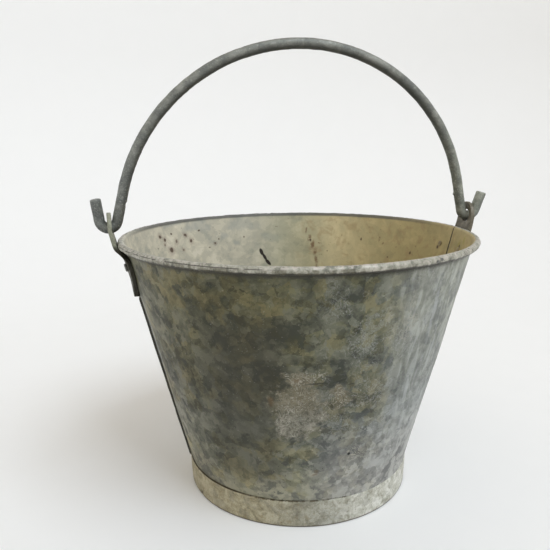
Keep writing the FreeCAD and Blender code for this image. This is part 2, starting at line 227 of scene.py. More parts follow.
class Paint:
    """A procedural material, wired in the piece's own coordinates."""

    def __init__(self, name, metallic=0.0):
        self.material = bpy.data.materials.new(name)
        self.material.use_nodes = True
        self.tree = self.material.node_tree
        self.shader = self.tree.nodes["Principled BSDF"]
        self.shader.inputs["Metallic"].default_value = metallic
        self.place = self.node("ShaderNodeTexCoord").outputs["Object"]
        split = self.node("ShaderNodeSeparateXYZ", {0: self.place})
        self.x, self.y, self.z = split.outputs[0], split.outputs[1], split.outputs[2]

    def put(self, socket, value):
        if isinstance(value, bpy.types.NodeSocket):
            self.tree.links.new(value, socket)
        else:
            socket.default_value = value

    def node(self, kind, links=None, **settings):
        node = self.tree.nodes.new(kind)
        for key, value in settings.items():
            setattr(node, key, value)
        for socket, value in (links or {}).items():
            self.put(node.inputs[socket], value)
        return node

    def stretched(self, x=1.0, y=1.0, z=1.0):
        node = self.node("ShaderNodeMapping", {"Vector": self.place})
        node.inputs["Scale"].default_value = (x, y, z)
        return node.outputs[0]

    def noise(self, size, detail=3.0, rough=0.5, warp=0.0, place=None):
        return self.node("ShaderNodeTexNoise", {
            "Vector": place or self.place, "Scale": 1 / (size * MM), "Detail": detail,
            "Roughness": rough, "Distortion": warp,
        }).outputs["Fac"]

    def ramp(self, value, stops):
        node = self.node("ShaderNodeValToRGB", {0: value})
        elements = node.color_ramp.elements
        while len(elements) < len(stops):
            elements.new(0.5)
        for element, (position, colour) in zip(elements, stops):
            element.position = position
            element.color = (*colour, 1.0) if not isinstance(colour, float) else (colour,) * 3 + (1.0,)
        return node.outputs["Color"]

    def span(self, value, low, high):
        """0 below low and 1 above high (or the other way round when low is the larger)."""
        return self.node("ShaderNodeMapRange", {
            0: value, 1: low, 2: high, 3: 0.0, 4: 1.0,
        }, interpolation_type="SMOOTHSTEP").outputs[0]

    def math(self, operation, a, b=0.0, c=0.0):
        return self.node("ShaderNodeMath", {0: a, 1: b, 2: c}, operation=operation).outputs[0]

    def both(self, first, *others):
        """Product of the values."""
        for other in others:
            first = self.math("MULTIPLY", first, other)
        return first

    def facing(self, axis):
        """How far the surface faces along an axis of the pail."""
        normal = self.node("ShaderNodeTexCoord").outputs["Normal"]
        return self.node("ShaderNodeSeparateXYZ", {0: normal}).outputs[axis]

    def veins(self, *noise):
        """Distance from the thin winding lines where a noise passes its middle value."""
        return self.math("ABSOLUTE", self.math("SUBTRACT", self.noise(*noise), 0.5))

    def lay(self, tone, mask, strength, colour):
        """A colour laid over the tone inside the mask, at a strength (None for full strength)."""
        return self.mix(mask if strength is None else self.both(mask, strength), tone, colour)

    def tinted(self, tone, tint, factor=1.0):
        return self.mix(factor, tone, tint, "MULTIPLY")

    def mix(self, factor, a, b, blend="MIX"):
        node = self.node("ShaderNodeMix", data_type="RGBA", blend_type=blend)
        self.put(node.inputs["Factor"], factor)
        colours = [s for s in node.inputs if s.type == "RGBA"]
        for socket, value in zip(colours, (a, b)):
            self.put(socket, value if isinstance(value, bpy.types.NodeSocket) else (*value, 1.0))
        return [s for s in node.outputs if s.type == "RGBA"][0]

    def field(self, name, edge, ragged=0.0, grain=3.0):
        """1 inside the marks kept under a name on the mesh, with a ragged edge."""
        far = self.node("ShaderNodeAttribute", attribute_name=name).outputs["Fac"]
        if ragged:
            wander = self.math("MULTIPLY_ADD", self.noise(grain, 3.0, 0.6), ragged, -ragged / 2)
            far = self.math("ADD", far, wander)
        return self.span(far, 1.0, edge)

    def skin(self, facing, warp=7.0):
        """Unrolled position on the wall, arc and height, warped so that marks get ragged edges.

        The arc is measured from the front of the pail or from its back.
        """
        turned = (self.x, self.math("MULTIPLY", self.y, -1.0)) if facing == "front" else (
            self.math("MULTIPLY", self.x, -1.0), self.y)
        arc = self.math("MULTIPLY", self.math("ARCTAN2", *turned), LAP_R * MM)
        flat = self.node("ShaderNodeCombineXYZ", {0: arc, 1: self.z}).outputs[0]
        for size, much in ((7.0, warp), (1.8, warp * 0.32)):
            wander = self.node("ShaderNodeTexNoise", {
                "Vector": self.place, "Scale": 1 / (size * MM), "Detail": 2.0}).outputs["Color"]
            push = self.node("ShaderNodeVectorMath", {0: wander}, operation="SUBTRACT")
            push.inputs[1].default_value = (0.5, 0.5, 0.5)
            add = self.node("ShaderNodeVectorMath", {0: push.outputs[0], 2: flat}, operation="MULTIPLY_ADD")
            add.inputs[1].default_value = (much * MM, much * MM, 0)
            flat = add.outputs[0]
        return flat

    def marks(self, skin, facing, places, edge=0.75):
        """1 inside any of the oval marks (azimuth, height, half width, half height, tilt)."""
        centre = -90 if facing == "front" else 90
        nearest = None
        for azimuth, z, half_w, half_h, tilt in places:
            node = self.node("ShaderNodeMapping", {"Vector": skin}, vector_type="TEXTURE")
            arc = math.radians(wrap(azimuth - centre)) * LAP_R
            node.inputs["Location"].default_value = (arc * MM, z * MM, 0)
            node.inputs["Rotation"].default_value = (0, 0, math.radians(tilt))
            widen = LAP_R / wall_out(z)
            node.inputs["Scale"].default_value = (half_w * widen * MM, half_h * MM, 1)
            far = self.node("ShaderNodeVectorMath", {0: node.outputs[0]}, operation="LENGTH").outputs["Value"]
            nearest = far if nearest is None else self.math("MINIMUM", nearest, far)
        return self.span(nearest, 1.0, edge)

    def flakes(self, size, warp=0.5, offset=0.0):
        """Two random values for each crisp-edged patch of about the given size."""
        node = self.node("ShaderNodeMapping", {"Vector": self.place})
        node.inputs["Location"].default_value = (offset, offset * 0.7, -offset)
        wander = self.node("ShaderNodeTexNoise", {
            "Vector": node.outputs[0], "Scale": 1 / (size * 0.8 * MM), "Detail": 3.0, "Roughness": 0.55,
        }).outputs["Color"]
        add = self.node("ShaderNodeVectorMath", {0: wander, 2: node.outputs[0]}, operation="MULTIPLY_ADD")
        add.inputs[1].default_value = (size * warp * MM,) * 3
        cell = self.node("ShaderNodeTexVoronoi", {"Vector": add.outputs[0], "Scale": 1 / (size * MM)})
        split = self.node("ShaderNodeSeparateXYZ", {0: cell.outputs["Color"]})
        return split.outputs[0], split.outputs[1]

    def total(self, *parts):
        """Weighted sum of (weight, value) pairs."""
        whole = None
        for weight, value in parts:
            piece = self.math("MULTIPLY", value, weight)
            whole = piece if whole is None else self.math("ADD", whole, piece)
        return whole

    def finish(self, colour, rough, height, depth, specular=PLAIN_GLOSS):
        self.put(self.shader.inputs["Base Color"], colour)
        self.put(self.shader.inputs["Roughness"], rough)
        self.put(self.shader.inputs["Specular IOR Level"], specular)
        bump = self.node("ShaderNodeBump", {"Height": height})
        bump.inputs["Strength"].default_value = 1.0
        bump.inputs["Distance"].default_value = depth * MM
        self.put(self.shader.inputs["Normal"], bump.outputs[0])
        return self.material


def across(paint):
    """Position across the picture: 0 at the pail's left side, 1 at its right."""
    turn = math.radians(VIEW_TURN)
    left = paint.both(paint.x, math.cos(turn))
    depth = paint.both(paint.y, -math.sin(turn))
    return paint.span(paint.math("ADD", left, depth), -0.14, 0.14)


def wall_point(azimuth, z):
    a = math.radians(azimuth)
    return wall_out(z) * math.cos(a), wall_out(z) * math.sin(a), z


# Marks on the wall: azimuth, height, half width, half height (millimetres) and tilt (degrees).
CRUST_AT = wall_point(-103.7, 119.0)
PIT = (-82.7, 70.8)
PIT_AT = wall_point(*PIT)
BAND_CHIP = (-161.5, 2.5)      # bruise at the lower edge of the foot band
DARK_PATCHES = [
    (-119, 221, 12, 5, 8), (-156, 212, 9, 9, 0), (-128, 220, 7, 6, 0), (-130, 193, 10, 8, 30),
    (-122, 192, 8, 8, 0), (-109, 189, 8, 6, -20), (-101, 176, 5, 4, 0), (-88, 214, 17, 4, 5),
    (-78, 168, 14, 10, 25), (-120, 166, 4, 3, 0), (-90, 144, 12, 7, -10), (-124, 146, 9, 8, 20),
    (-98, 212, 3, 8, 0), (-86, 187, 5, 4, 0), (-70, 212, 5, 9, 0), (-129, 174, 9, 9, 0),
    (-148, 153, 9, 20, 0), (-132, 101, 13, 7, -10), (-104, 86, 10, 5, 0), (-114, 82, 8, 5, 20),
    (-105, 69, 12, 8, 0), (-125, 86, 7, 6, 0), (-138, 49, 10, 6, 0), (-82, 68, 10, 6, 20),
    (-119, 116, 7, 8, 0), (-68, 98, 8, 12, 15), (-142, 130, 8, 16, 0), (-112, 104, 6, 6, 0),
    (-96, 160, 10, 6, 10), (-113, 152, 10, 8, 0),
]
LIGHT_PATCHES = [
    (-120, 208, 9, 5, 0), (-143, 205, 8, 9, 0), (-107, 203, 10, 7, 20), (-92, 205, 10, 8, 0),
    (-82, 199, 9, 8, 30), (-108, 172, 6, 5, 0), (-100, 188, 6, 4, 0), (-62, 215, 6, 9, 0),
    (-78, 205, 6, 6, 0), (-135, 119, 6, 11, 0), (-123, 73, 10, 5, 0), (-94, 78, 9, 6, 0),
    (-89, 128, 8, 9, 20), (-107, 52, 20, 6, 0), (-140, 178, 7, 12, 0), (-80, 150, 7, 12, 0),
    (-72, 132, 6, 14, 0), (-98, 232, 20, 3, 0), (-64, 180, 6, 14, 0),
]
PALE_STREAKS = [
    (-56, 190, 4, 34, 4), (-50, 150, 3, 26, 0), (-60, 120, 3, 18, 0), (-57, 85, 4, 16, 0),
    (-171, 150, 3, 70, 0),
]
CRUST = [
    (-104.0, 121, 25, 29, 8), (-103, 140, 14, 15, 20), (-106, 100, 18, 14, 0), (-98, 112, 15, 18, 0),
    (-89, 127, 9, 13, 20),
]
CRUST_SIDE = [
    (-90, 126, 12, 15, 20), (-103, 146, 17, 6, 0), (-80, 70, 18, 9, 0), (-68, 190, 10, 26, 0),
    (-98, 150, 14, 5, 0),
]
SCRATCHES = [(-98, 142.5, 11, 0.9, 3), (-90, 144, 7, 0.8, 10), (-94, 148, 6, 0.6, -14), (-86, 140, 4, 0.6, 5)]
BROWN = [(-96, 56, 2.6, 2.4, 20), (-97, 53, 4, 1.2, 20), (-113, 126, 4, 6, 0), (-104, 146, 4, 3, 0)]
SEAM_SHADE_AT = (-177.6, -2.4)    # azimuth of the painted shade along the front edge of each seam

# Colours: painted shade with grime under the rim, painted shade by the seams, painted shade with grime over
# the foot band; then pits, scratches and brown spots
RIM_SHADE_GRIME, SEAM_SHADE, FOOT_SHADE_GRIME = (0.035, 0.033, 0.026), (0.022, 0.020, 0.017), (0.085, 0.066, 0.036)
PIT_BLACK, SCRATCH_BLACK, SPOT_BROWN = (0.012, 0.012, 0.01), (0.03, 0.03, 0.025), (0.13, 0.085, 0.04)


def mottled(p):
    """Dark weathered zinc in crisp patches. Gives the tone, the level it comes from and a grain."""
    big, hue_big = p.flakes(15, 0.9)
    small, hue_small = p.flakes(7.5, 1.3, 0.4)
    tiny = p.flakes(3.6, 1.3, 0.9)[0]
    cloud = p.noise(26, 3.0, 0.55, 0.6)
    fine = p.noise(1.3, 3.0, 0.6)
    level = p.total((0.12, big), (0.20, small), (0.10, tiny), (0.62, cloud), (0.06, fine))
    level = p.math("SUBTRACT", level, 0.05)
    dark, light = p.field("dark", 0.70, 1.1, 4.0), p.field("light", 0.70, 1.1, 4.0)
    level = p.total((1.0, level), (-0.085, dark), (0.06, light))
    tone = p.ramp(level, [
        (0.34, (0.052, 0.056, 0.050)), (0.400, (0.066, 0.070, 0.061)), (0.408, (0.080, 0.084, 0.070)),
        (0.465, (0.090, 0.094, 0.078)), (0.473, (0.107, 0.111, 0.091)), (0.530, (0.118, 0.122, 0.101)),
        (0.538, (0.142, 0.145, 0.122)), (0.60, (0.155, 0.158, 0.135)), (0.612, (0.185, 0.187, 0.162)),
    ])
    hue = p.total((0.3, hue_big), (0.2, hue_small), (1.0, p.noise(40, 3.0, 0.5, 0.5)))
    tint = p.ramp(hue, [
        (0.64, (0.97, 0.98, 1.03)), (0.74, (1.0, 1.0, 0.97)), (0.80, (1.06, 1.02, 0.80)),
        (0.92, (1.14, 1.0, 0.66)),
    ])
    return tone, tint, level, cloud, fine


def shaded(p, tone, side):
    """Painted light: the wall painted brighter and cooler from left to right, as the lamp on the right lights
    it, and brighter from the middle downwards, partly its own paler colour and partly light bounced from the
    floor.
    """
    tone = p.tinted(tone, p.ramp(side, [
        (0.0, (1.02, 0.98, 0.85)), (0.14, (0.72, 0.69, 0.54)), (0.42, (0.82, 0.80, 0.65)),
        (0.64, (0.93, 0.95, 0.91)), (0.80, (1.02, 1.06, 1.07)), (0.90, (1.62, 1.70, 1.75)),
        (1.0, (2.85, 3.0, 3.15)),
    ]))
    return p.tinted(tone, p.ramp(p.span(p.z, 0.04, 0.20), [
        (0.0, (1.78, 1.77, 1.84)), (0.35, (1.16, 1.17, 1.24)), (0.6, (0.92, 0.91, 0.88)),
        (1.0, (0.99, 0.97, 0.84)),
    ]))


def bright_side(p, tone, side, highlight_area):
    """Vertical streaks painted as soft highlights, a light net and pale runs on the right of the front."""
    # painted highlight: soft vertical streaks where the lamp glances off the right of the front
    runs = p.noise(7.0, 3.0, 0.55, 0.8, p.stretched(z=0.14))
    streak_highlight = p.ramp(runs, [
        (0.36, (0.16, 0.17, 0.175)), (0.47, (0.225, 0.235, 0.235)), (0.53, (0.29, 0.305, 0.30)),
        (0.62, (0.43, 0.45, 0.455)),
    ])
    tone = p.lay(tone, highlight_area, 0.58, streak_highlight)
    net = p.span(p.veins(6.0, 3.0, 0.65, 1.2), 0.03, 0.012)
    netted = p.both(net, p.span(p.noise(30, 2.0, 0.5), 0.46, 0.56))
    tone = p.lay(tone, netted, p.both(p.span(side, 0.54, 0.70), 0.40), (0.42, 0.43, 0.42))
    return p.lay(tone, p.field("pale", 0.3, 0.6), 0.5, (0.44, 0.465, 0.47))


def foot_shades(p, tone, side, level, cloud):
    """The lower part of the wall painted paler, partly its own colour and partly painted light bounced from
    the floor, the khaki zone over the foot band, the haze on its right and painted shade on the left of the
    wall's middle height.
    """
    low = p.span(p.math("ADD", p.z, p.both(cloud, 0.05)), 0.085, 0.050)
    tone = p.lay(tone, low, 0.35, p.ramp(side, [
        (0.0, (0.22, 0.20, 0.15)), (0.5, (0.26, 0.245, 0.19)), (0.75, (0.36, 0.355, 0.32)),
        (1.0, (0.52, 0.52, 0.51)),
    ]))
    # painted light: the lower wall brightened as if lit by light bounced from the floor
    tone = p.tinted(tone, (1.28, 1.26, 1.16), p.both(low, 0.8))
    foot = p.span(p.math("ADD", p.z, p.both(p.math("SUBTRACT", cloud, 0.5), 0.16)), 0.046, 0.034)
    khaki = p.ramp(side, [
        (0.0, (0.19, 0.175, 0.125)), (0.4, (0.27, 0.262, 0.20)), (0.7, (0.30, 0.30, 0.26)),
        (1.0, (0.44, 0.44, 0.42)),
    ])
    mottle = p.ramp(level, [
        (0.38, (0.50, 0.52, 0.55)), (0.43, (0.70, 0.71, 0.72)), (0.44, (0.88, 0.88, 0.88)),
        (0.50, (1.0, 1.0, 0.97)), (0.51, (1.15, 1.14, 1.08)), (0.60, (1.25, 1.24, 1.20)),
    ])
    tone = p.lay(tone, foot, 0.9, p.tinted(khaki, mottle))
    haze = p.both(p.span(side, 0.52, 0.70), p.span(p.z, 0.115, 0.060), p.span(p.y, 0.03, -0.03))
    tone = p.lay(tone, haze, 0.62, p.ramp(p.math("ADD", level, p.both(side, 0.12)), [
        (0.40, (0.17, 0.17, 0.163)), (0.50, (0.225, 0.224, 0.213)), (0.58, (0.29, 0.288, 0.277)),
        (0.70, (0.42, 0.418, 0.405)),
    ]))
    # painted shade over the left of the wall's middle height
    across_left = p.both(p.span(side, 0.08, 0.22), p.span(side, 0.52, 0.36))
    middle_height = p.both(p.span(p.z, 0.032, 0.055), p.span(p.z, 0.215, 0.175))
    tone = p.lay(tone, p.both(across_left, middle_height), 0.55, (0.038, 0.036, 0.025))
    return p.lay(tone, p.span(p.y, 0.0, 0.06), 0.35, (0.17, 0.17, 0.152))


def crusted(p, tone):
    """The rough light patch on the front: brown above, with a pale lace that runs past its edges."""
    patch = p.ramp(p.noise(7.0, 5.0, 0.7, 0.8), [
        (0.36, (0.075, 0.072, 0.054)), (0.44, (0.145, 0.139, 0.106)), (0.50, (0.208, 0.200, 0.156)),
        (0.58, (0.275, 0.262, 0.21)), (0.66, (0.36, 0.34, 0.285)),
    ])
    patch = p.lay(patch, p.span(p.z, 0.108, 0.128), 0.6, (0.185, 0.157, 0.09))
    crust = p.field("crust", 0.45, 1.5, 5.0)
    tone = p.lay(tone, crust, 0.9, patch)
    veins = p.veins(7.5, 2.5, 0.6, 2.0)
    groove = p.both(p.span(veins, 0.036, 0.05), p.span(veins, 0.085, 0.06))
    tone = p.lay(tone, crust, p.both(groove, 0.6), (0.06, 0.056, 0.042))
    some = p.math("MULTIPLY_ADD", p.span(p.noise(14, 3.0, 0.6), 0.46, 0.58), 0.4, 0.3)
    laced = p.math("MAXIMUM", p.both(p.field("lace", 0.3, 1.1), 0.8), p.both(crust, some))
    return p.lay(tone, laced, p.span(veins, 0.034, 0.012), (0.385, 0.37, 0.315))


def outside_zinc():
    p = Paint("outside_zinc", 0.15)
    tone, tint, level, cloud, fine = mottled(p)
    side = across(p)
    right_side = p.span(side, 0.78, 0.96)
    highlight_area = p.both(right_side, p.span(p.y, 0.03, -0.05))
    tone = p.tinted(tone, tint, p.math("SUBTRACT", 0.75, p.both(right_side, 0.7)))
    tone = bright_side(p, shaded(p, tone, side), side, highlight_area)
    tone = crusted(p, foot_shades(p, tone, side, level, cloud))
    tone = p.lay(tone, p.span(p.noise(1.5, 2.0, 0.5), 0.68, 0.73), 0.25, (0.40, 0.39, 0.35))
    tone = p.lay(tone, p.span(p.noise(2.4, 2.0, 0.6), 0.31, 0.27), 0.7, (0.035, 0.033, 0.028))
    unrolled = p.skin("front", 1.2)
    tone = p.lay(tone, p.marks(unrolled, "front", [(*PIT, 1.5, 1.7, 0)]), None, PIT_BLACK)
    tone = p.lay(tone, p.marks(unrolled, "front", SCRATCHES, 0.3), 0.9, SCRATCH_BLACK)
    tone = p.lay(tone, p.field("brown", 0.2, 0.5, 2.0), 0.6, SPOT_BROWN)
    # painted shade with grime under the rolled rim, painted shade along the front edge of the seams, painted
    # shade with grime in the crevice over the foot band
    tone = p.lay(tone, p.span(p.math("ADD", p.z, p.both(fine, 0.004)), 0.2300, 0.2345), 0.9, RIM_SHADE_GRIME)
    tone = p.lay(tone, p.field("seam", 0.8), 0.9, SEAM_SHADE)
    tone = p.lay(tone, foot_line(p), None, FOOT_SHADE_GRIME)
    rough = p.ramp(level, [(0.3, 0.62), (0.5, 0.52), (0.75, 0.44)])
    height = p.total((0.5, fine), (0.6, p.noise(1.0, 3.0, 0.6)), (0.5, level))
    return p.finish(tone, rough, height, 0.20)


def foot_line(p):
    """Painted shade with grime in the crevice along the top of the foot band: strong on the left, broken in
    the middle.
    """
    line = p.both(p.span(p.z, 0.0239, 0.0245), p.span(p.z, 0.0257, 0.0251))
    gaps = p.span(p.noise(4.0, 3.0, 0.7), 0.46, 0.54)
    side = across(p)
    strong = p.span(side, 0.34, 0.20)
    middle = p.both(p.span(side, 0.76, 0.70), gaps)
    return p.both(line, p.math("MAXIMUM", strong, p.both(middle, 0.8)))


RUST_PITS = [
    (138, 210.5, 2.6, 2.6, 0), (140.5, 222, 1.6, 1.8, 0), (128.5, 223, 2.2, 1.3, 30), (141, 217, 1.5, 1, 0),
    (134, 218, 1.5, 2, 0), (126, 216, 1.6, 1.8, 0), (143, 226, 2, 1.6, 40), (131, 208, 1.2, 1.2, 0),
    (114, 210, 1.2, 1.0, 0), (112, 214, 1, 1, 0), (117, 206, 1, 1.2, 0), (146, 215, 1.2, 1, 0),
    (121, 226, 1.4, 1, 0), (136, 227, 1.5, 1.2, 0), (100, 214, 1, 1, 0), (21.6, 203.7, 1.6, 1.4, 0),
    (6.5, 216, 1.6, 1.7, 0), (-10, 223.5, 1.6, 1.6, 0), (10, 222, 1, 1, 0), (70, 208, 1.2, 1.6, 0),
    (62, 196, 1, 1.2, 0), (47, 212, 1, 2.2, 0), (33, 196, 1, 1, 0), (85, 224, 1.2, 0.8, 0),
]
STAINED_PITS = 9          # the first of them stand in a brown stain
RUST_STREAKS = [
    (72.5, 229, 1.2, 5, 0), (71.8, 220, 1.9, 6, 10), (70.4, 211, 2.8, 5, 15), (68.9, 203, 3.4, 6, 8),
    (67.8, 195, 2.6, 6, 8), (67, 186, 3.0, 7, 0), (67, 178, 2.2, 6, 0), (66, 205, 4, 1.4, 20),
    (65, 192, 3, 1.2, 0), (38.8, 222, 1.1, 6, 0), (38.2, 214, 1.3, 5, 5), (36.4, 210, 1.2, 3, 30),
    (56.4, 215, 0.9, 4, 0), (50, 204, 1, 1.4, 0),
]
SCAR = [(92.5, 195.7, 2.5, 4.8, -16), (91.2, 190.0, 1.9, 6.5, -28), (89.6, 183.5, 2.4, 5.2, -38)]
BLUE_PATCHES = [
    (122, 231, 26, 8, 0), (100, 228, 30, 9, 0), (88, 214, 18, 8, 10), (110, 216, 8, 5, 0),
    (134, 236, 20, 4, 0), (76, 232, 10, 5, 0), (35, 234, 8, 4, 0), (104, 206, 5, 5, 0),
]
CREAM_PATCHES = [
    (120, 198, 24, 10, 0), (140, 200, 16, 14, 0), (104, 196, 14, 8, 0), (74, 222, 12, 9, 20),
    (60, 208, 14, 8, 0), (96, 188, 12, 6, 0),
]
YELLOW = [(-13, 231, 5, 6, 0), (-9, 225, 4, 7, 0), (-20, 236, 3, 4, 0)]
SEAM_LINES = [(seam, 200, 1.7, 60, 0) for seam in SEAMS]


def inside_zinc():
    p = Paint("inside_zinc", 0.08)
    big, small = p.flakes(17, 0.9, 0.2)[0], p.flakes(7, 0.9, 0.6)[0]
    cloud = p.noise(30, 4.0, 0.6, 0.7)
    fine = p.noise(1.5, 3.0, 0.6)
    level = p.total((0.14, big), (0.12, small), (0.8, cloud), (0.14, fine))
    level = p.math("SUBTRACT", level, 0.09)
    blue = p.field("blue", 0.35, 1.1, 7.0)
    level = p.total((1.0, level), (-0.10, blue), (0.08, p.field("cream", 0.7, 1.0, 6.0)))
    tone = p.ramp(level, [
        (0.30, (0.27, 0.28, 0.25)), (0.40, (0.34, 0.345, 0.30)), (0.43, (0.40, 0.39, 0.33)),
        (0.52, (0.44, 0.43, 0.36)), (0.55, (0.50, 0.48, 0.40)), (0.64, (0.54, 0.52, 0.43)),
        (0.67, (0.60, 0.575, 0.49)),
    ])
    tone = p.lay(tone, blue, 0.4, (0.33, 0.355, 0.35))
    side = across(p)
    even = p.ramp(side, [(0.0, 0.22), (0.50, 0.30), (0.64, 0.55)])
    tone = p.lay(tone, even, None, (0.465, 0.455, 0.375))
    # painted light on the left, where the inner wall faces the lamp; the tan towards the right is stain
    tone = p.tinted(tone, p.ramp(side, [
        (0.0, (1.31, 1.29, 1.28)), (0.25, (1.07, 1.06, 1.02)), (0.40, (0.96, 0.96, 0.84)),
        (0.56, (0.96, 0.92, 0.72)), (0.75, (1.25, 1.10, 0.78)), (1.0, (0.94, 0.79, 0.46)),
    ]))
    stain = p.both(p.span(p.noise(13, 4.0, 0.6, 0.6), 0.52, 0.66), p.span(side, 0.45, 0.62))
    tone = p.lay(tone, stain, 0.4, (0.33, 0.22, 0.11))
    tone = p.lay(tone, p.field("yellow", 0.3, 0.7), 0.6, (0.34, 0.30, 0.07))
    tone = p.lay(tone, p.field("halo", 0.1, 0.9), 0.5, (0.27, 0.20, 0.16))
    tone = p.lay(tone, p.field("pits", 0.5, 0.6, 1.6), 0.92, (0.085, 0.05, 0.035))
    streak = p.both(p.field("streaks", 0.2, 0.7, 2.0), p.span(p.noise(2.2, 3.0, 0.6), 0.36, 0.46))
    tone = p.lay(tone, streak, 0.8, (0.16, 0.085, 0.04))
    unrolled = p.skin("back", 0.8)
    tone = p.lay(tone, p.marks(unrolled, "back", SCAR, 0.7), None, (0.02, 0.014, 0.012))
    tone = p.lay(tone, p.marks(unrolled, "back", SEAM_LINES, 0.6), 0.95, (0.035, 0.022, 0.012))
    tone = p.lay(tone, p.span(p.noise(2.6, 3.0, 0.6), 0.68, 0.73), 0.6, (0.13, 0.07, 0.04))
    lip = p.both(p.span(p.z, 0.2352, 0.2375), p.span(p.y, 0.0, 0.10))
    tone = p.lay(tone, lip, 0.85, (0.07, 0.075, 0.075))
    rough = p.ramp(level, [(0.3, 0.60), (0.7, 0.48)])
    return p.finish(tone, rough, p.total((0.5, fine), (0.6, level), (0.4, p.noise(1.0, 3.0, 0.6))), 0.18)


def rim_zinc():
    """The rolled rim: worn zinc with a painted highlight on top, dirt and painted shade below, with a crease
    on the left of the front darkened by painted shade.
    """
    p = Paint("rim_zinc", 0.15)
    mid = p.noise(7, 4.0, 0.62, 0.5)
    level = p.total((0.16, p.flakes(5, 0.9, 0.3)[0]), (1.0, mid), (0.25, p.noise(1.4, 3.0, 0.6)))
    tone = p.ramp(level, [
        (0.46, (0.13, 0.13, 0.105)), (0.58, (0.22, 0.22, 0.18)), (0.66, (0.31, 0.305, 0.25)),
        (0.76, (0.40, 0.39, 0.33)), (0.88, (0.52, 0.50, 0.44)),
    ])
    # worn zinc with a painted highlight along the top of the bead
    worn = p.both(p.span(p.z, 0.2355, 0.2385), p.span(p.noise(3.4, 4.0, 0.65), 0.50, 0.58))
    tone = p.lay(tone, worn, 0.7, (0.55, 0.50, 0.45))
    tone = p.lay(tone, p.span(p.noise(2.4, 4.0, 0.7), 0.40, 0.34), 0.6, (0.08, 0.075, 0.06))
    tone = p.lay(tone, p.span(p.y, 0.02, 0.12), 0.85, (0.07, 0.075, 0.08))
    # painted shade on the underside of the bead
    under = p.span(p.math("ADD", p.z, p.both(mid, 0.0024)), 0.2368, 0.2354)
    tone = p.lay(tone, under, 0.92, (0.032, 0.028, 0.02))
    climbing = p.span(p.math("ADD", p.z, p.both(mid, 0.003)), 0.2394, 0.2380)
    dirty = p.both(p.span(p.noise(5.0, 4.0, 0.65, 0.6), 0.47, 0.56), climbing, p.span(across(p), 0.86, 0.66))
    tone = p.lay(tone, dirty, 0.5, (0.115, 0.102, 0.062))
    # painted shade in the crease on the left of the front
    crease = p.both(p.span(p.z, 0.2369, 0.2373), p.span(p.z, 0.2382, 0.2377))
    left_part = p.both(p.span(across(p), 0.52, 0.30), p.span(p.noise(9, 2.0, 0.5), 0.36, 0.46))
    tone = p.lay(tone, crease, p.both(left_part, 0.75), (0.04, 0.036, 0.028))
    rough = p.ramp(level, [(0.45, 0.60), (0.85, 0.42)])
    return p.finish(tone, rough, p.total((1.0, mid), (0.6, p.noise(1.2, 4.0, 0.6))), 0.25)


def band_zinc():
    p = Paint("band_zinc", 0.12)
    mid = p.noise(9, 4.0, 0.66, 0.7)
    fine = p.noise(1.6, 4.0, 0.65)
    level = p.total((0.12, p.flakes(7, 0.9, 0.8)[0]), (0.8, mid), (0.45, fine))
    side = across(p)
    tone = p.ramp(level, [
        (0.50, (0.19, 0.18, 0.14)), (0.60, (0.26, 0.25, 0.20)), (0.68, (0.32, 0.312, 0.26)),
        (0.80, (0.42, 0.41, 0.36)),
    ])
    # painted light: the band painted brighter and cooler towards the right, where the lamp falls, warmer on
    # the left
    tone = p.tinted(tone, p.ramp(side, [
        (0.05, (1.04, 0.93, 0.70)), (0.30, (1.10, 1.01, 0.79)), (0.58, (0.96, 0.96, 0.92)),
        (0.85, (1.70, 1.73, 1.80)),
    ]))
    tone = p.lay(tone, p.span(p.noise(10, 3.0, 0.6, 0.6), 0.54, 0.60), 0.22, (0.17, 0.17, 0.155))
    tone = p.lay(tone, p.span(p.noise(2.0, 3.0, 0.65), 0.38, 0.32), 0.45, (0.12, 0.095, 0.055))
    ochre = p.span(p.noise(4.0, 4.0, 0.65), 0.58, 0.64)
    tone = p.lay(tone, ochre, p.both(p.span(side, 0.75, 0.45), 0.35), (0.24, 0.17, 0.06))
    tone = p.lay(tone, p.span(p.z, 0.0016, 0.0005), None, (0.075, 0.058, 0.035))
    # painted shade with grime in the crevice over the band
    tone = p.lay(tone, foot_line(p), None, FOOT_SHADE_GRIME)
    chip = p.marks(p.skin("front", 1.0), "front", [(*BAND_CHIP, 2.4, 1.6, -20)], 0.5)
    tone = p.lay(tone, chip, None, (0.03, 0.02, 0.012))
    rough = p.ramp(level, [(0.5, 0.62), (0.85, 0.46)])
    return p.finish(tone, rough, p.total((1.0, mid), (0.7, fine)), 0.2)


